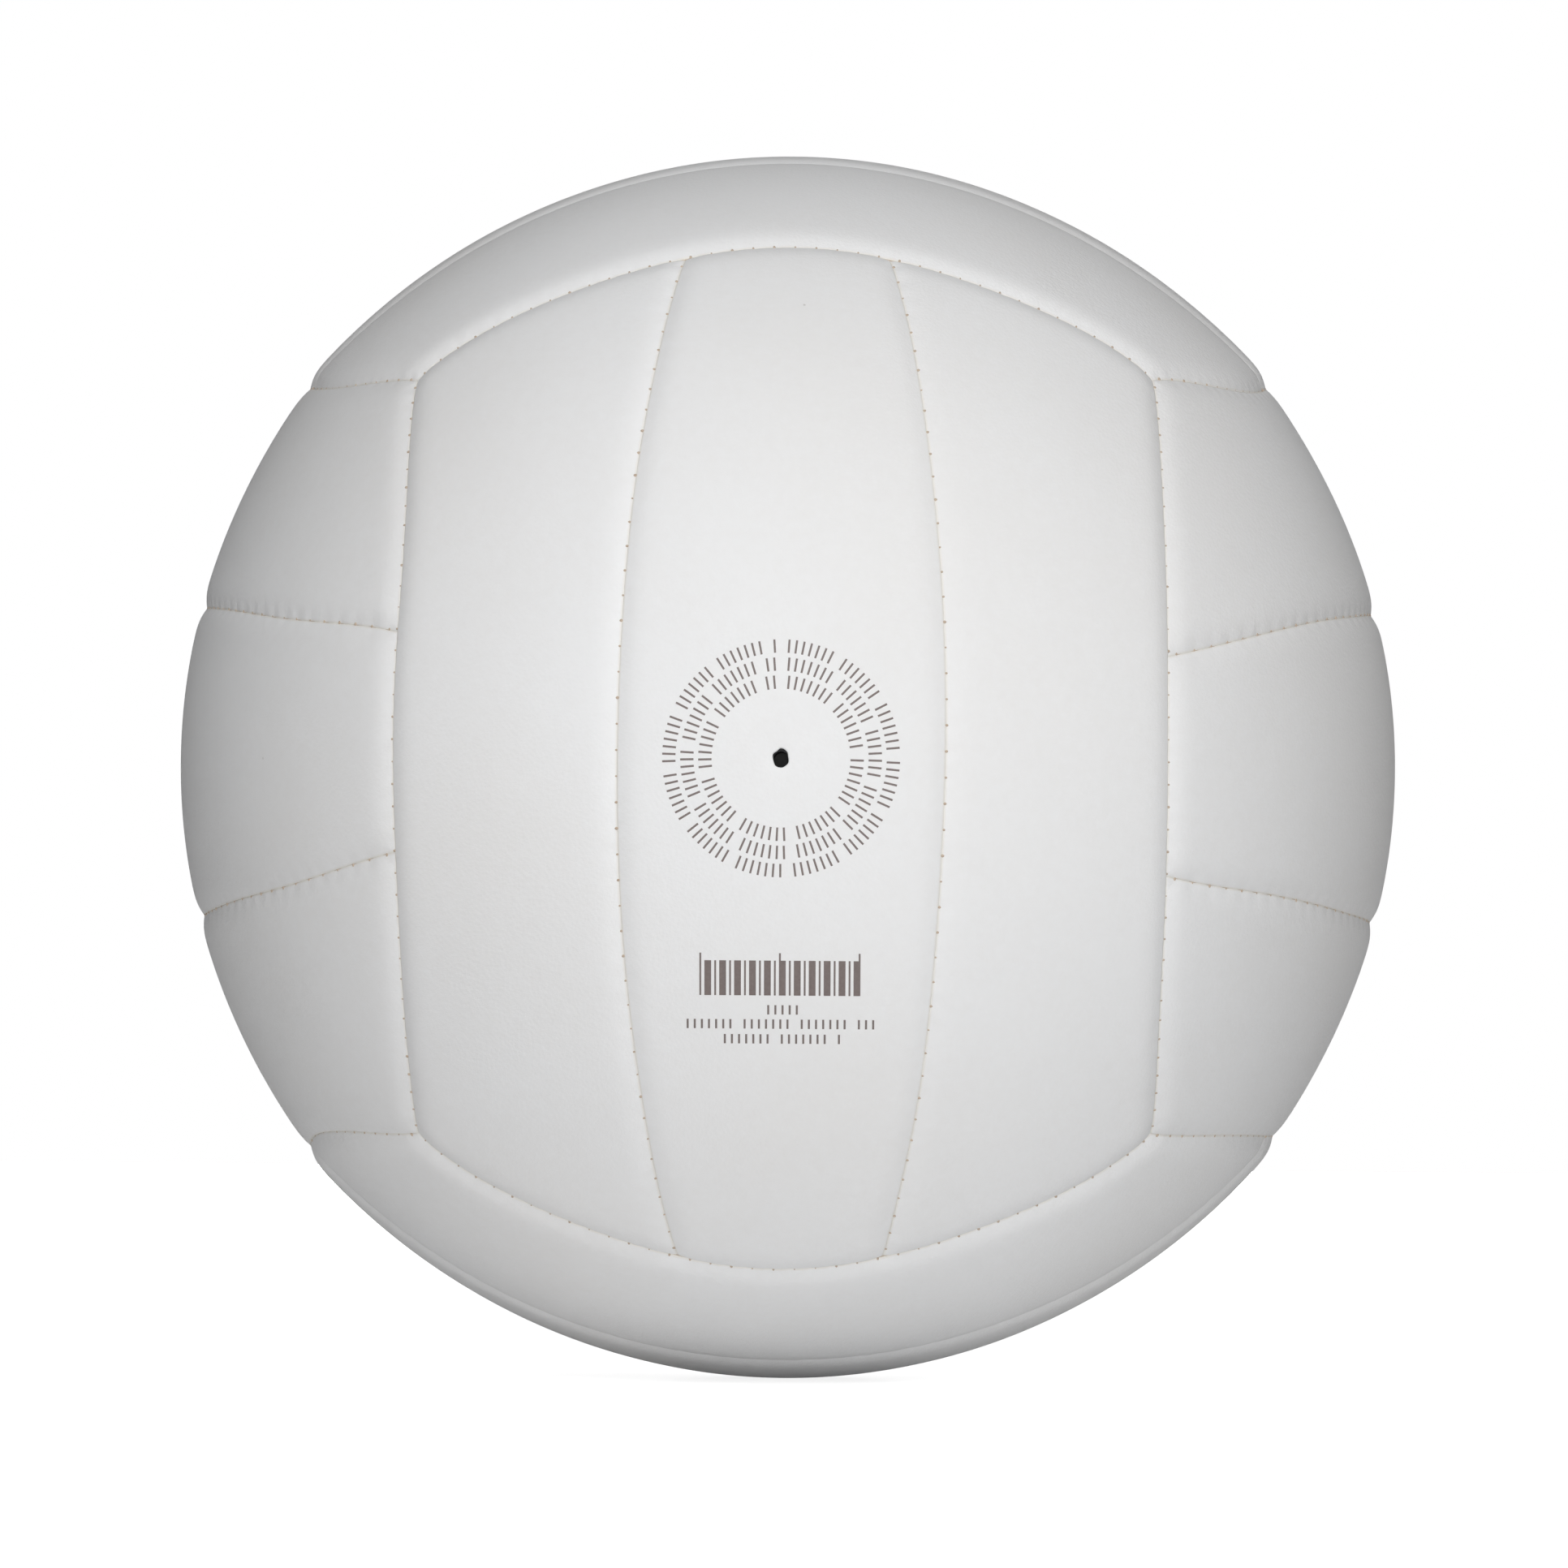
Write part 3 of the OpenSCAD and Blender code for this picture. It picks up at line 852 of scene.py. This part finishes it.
places, leans = [], []
for r in rings_r:
    count = round(2 * pi * r / tick_pitch)
    for i in range(count):
        if i % (ticks_per_group + 1):
            a = 2 * pi * i / count
            places.append((print_centre[0] + r * sin(a), 0, print_centre[2] + r * cos(a)))
            leans.append(a)
printed("printed_rings", places, leans, tick_width, tick_length)
for kind, (start, end, z, tall, pitch, wide) in bar_rows.items():
    x = np.arange(start, end + pitch / 2, pitch) * MM + print_centre[0]
    places = [(a, 0, z * MM) for a in x]
    printed("printed_bars_" + kind, places, [0] * len(x), wide * MM, tall * MM)
places = []
for start, end, z in tick_rows:
    x = np.arange(start * MM, end * MM, tick_pitch) + print_centre[0]
    places += [(a, 0, z * MM) for i, a in enumerate(x) if i % (ticks_per_group + 1)]
printed("printed_rows", places, [0] * len(places), tick_width, row_tick_share * tick_length)


# The studio: a pale floor that the ball stands on runs into a white surround. The camera
# sees both as white, and the floor still takes the ball's shadow.
floor_half = 1.8
floor_glow = 0.8
floor_glow_reach = (0.3, 1.1)
floor_colour = (0.95, 0.95, 0.95, 1)
surround_fill = 0.012


def looked_at(tree):
    """1 on the rays that see the studio, in the camera or in a gloss, and 0 on light's own."""
    rays = made(tree, "ShaderNodeLightPath").outputs
    seen = rays["Is Camera Ray"]
    for ray in (rays["Is Glossy Ray"], rays["Is Transmission Ray"]):
        either = made(tree, "ShaderNodeMath", operation="MAXIMUM")
        tree.links.new(seen, either.inputs[0])
        tree.links.new(ray, either.inputs[1])
        seen = either.outputs[0]
    return seen


bpy.ops.mesh.primitive_grid_add(x_subdivisions=4, y_subdivisions=4, size=2 * floor_half)
floor = bpy.context.object
floor.name = "studio_floor"
floor.data.transform(Matrix.Translation((0, 0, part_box("bottom_middle_panel")[0].z)))
floor_paint, tree, shader = finish("pale floor")
tree.nodes.remove(shader)
out = tree.nodes["Material Output"]
matt = made(tree, "ShaderNodeBsdfDiffuse", Color=floor_colour)
glow = made(tree, "ShaderNodeEmission")
off_centre = made(tree, "ShaderNodeVectorMath", operation="LENGTH")
tree.links.new(made(tree, "ShaderNodeTexCoord").outputs["Object"], off_centre.inputs[0])
glowing = ranged(tree, off_centre.outputs["Value"], floor_glow, 1, *floor_glow_reach)
tree.links.new(glowing, glow.inputs["Strength"])
lit = made(tree, "ShaderNodeAddShader")
seen = made(tree, "ShaderNodeMixShader")
tree.links.new(matt.outputs[0], lit.inputs[0])
tree.links.new(glow.outputs[0], lit.inputs[1])
tree.links.new(looked_at(tree), seen.inputs[0])
tree.links.new(matt.outputs[0], seen.inputs[1])
tree.links.new(lit.outputs[0], seen.inputs[2])
tree.links.new(seen.outputs[0], out.inputs["Surface"])
floor.data.materials.append(floor_paint)

surround = bpy.data.worlds.new("white surround")
bpy.context.scene.world = surround
surround.use_nodes = True
tree = surround.node_tree
tree.nodes.clear()
white = made(tree, "ShaderNodeBackground", Color=(1, 1, 1, 1), Strength=1.0)
dim = made(tree, "ShaderNodeBackground", Color=(1, 1, 1, 1), Strength=surround_fill)
mix = made(tree, "ShaderNodeMixShader")
out = made(tree, "ShaderNodeOutputWorld")
tree.links.new(looked_at(tree), mix.inputs[0])
tree.links.new(dim.outputs[0], mix.inputs[1])
tree.links.new(white.outputs[0], mix.inputs[2])
tree.links.new(mix.outputs[0], out.inputs["Surface"])
bpy.context.scene.view_settings.view_transform = "Standard"


# Soft boxes stand round the ball, all at one distance: two above the camera, a weak one to
# each side, a low strip in front that opens the ball's underside, and one behind for the
# side that the camera doesn't see.
studio_reach = 2.0


def soft_box(name, azimuth, elevation, width, height, strength):
    """An area lamp aimed at the ball. A strength of 1 lights a matt face to its own colour."""
    lamp = bpy.data.lights.new(name, "AREA")
    lamp.shape = "RECTANGLE"
    lamp.size, lamp.size_y = width, height
    lamp.energy = strength * pi**2 * studio_reach**2
    box = bpy.data.objects.new(name, lamp)
    bpy.context.scene.collection.objects.link(box)
    a, e = radians(azimuth), radians(elevation)
    box.location = Vector((sin(a) * cos(e), -cos(a) * cos(e), sin(e))) * studio_reach
    box.rotation_euler = (-box.location).to_track_quat("-Z", "Y").to_euler()
    box.visible_camera = False


soft_box("key_box", 0, 36, 0.8, 0.8, 0.265)
soft_box("high_box", 0, 65, 0.9, 0.9, 0.15)
soft_box("low_strip", 0, -1, 0.7, 0.1, 0.385)
soft_box("left_box", -50, 40, 0.7, 0.7, 0.035)
soft_box("right_box", 52, 25, 0.65, 0.65, 0.11)
soft_box("back_box", 180, 0, 0.4, 0.4, 0.95)


# The camera faces the valve through a long lens, a little below the ball's middle. Its
# place follows from where the ball's outline and seams lie in the photograph.
photo_px = 1932
outline_radius_px = 752.85
ball_centre_px = (971.2, 945.0)
camera_reach = 14.0
ball_pitch, ball_roll, ball_yaw = radians(-1.55), radians(0.43), radians(-0.63)

lens = bpy.data.cameras.new("studio_camera")
camera = bpy.data.objects.new("studio_camera", lens)
bpy.context.scene.collection.objects.link(camera)
lens.sensor_width = 36.0
lens.lens = lens.sensor_width * outline_radius_px * sqrt(camera_reach**2 - 1) / photo_px
lens.shift_x = (photo_px / 2 - ball_centre_px[0]) / photo_px
lens.shift_y = (ball_centre_px[1] - photo_px / 2) / photo_px
lens.clip_end = 50
lean = Matrix.Rotation(ball_pitch, 3, "X") @ Matrix.Rotation(ball_yaw, 3, "Z")
lean = (lean @ Matrix.Rotation(ball_roll, 3, "Y")).transposed()
upright = Matrix(((1, 0, 0), (0, 0, -1), (0, 1, 0)))
place = lean @ Vector((0, -camera_reach * ball_r, 0))
camera.matrix_world = Matrix.Translation(place) @ (lean @ upright).to_4x4()
bpy.context.scene.camera = camera
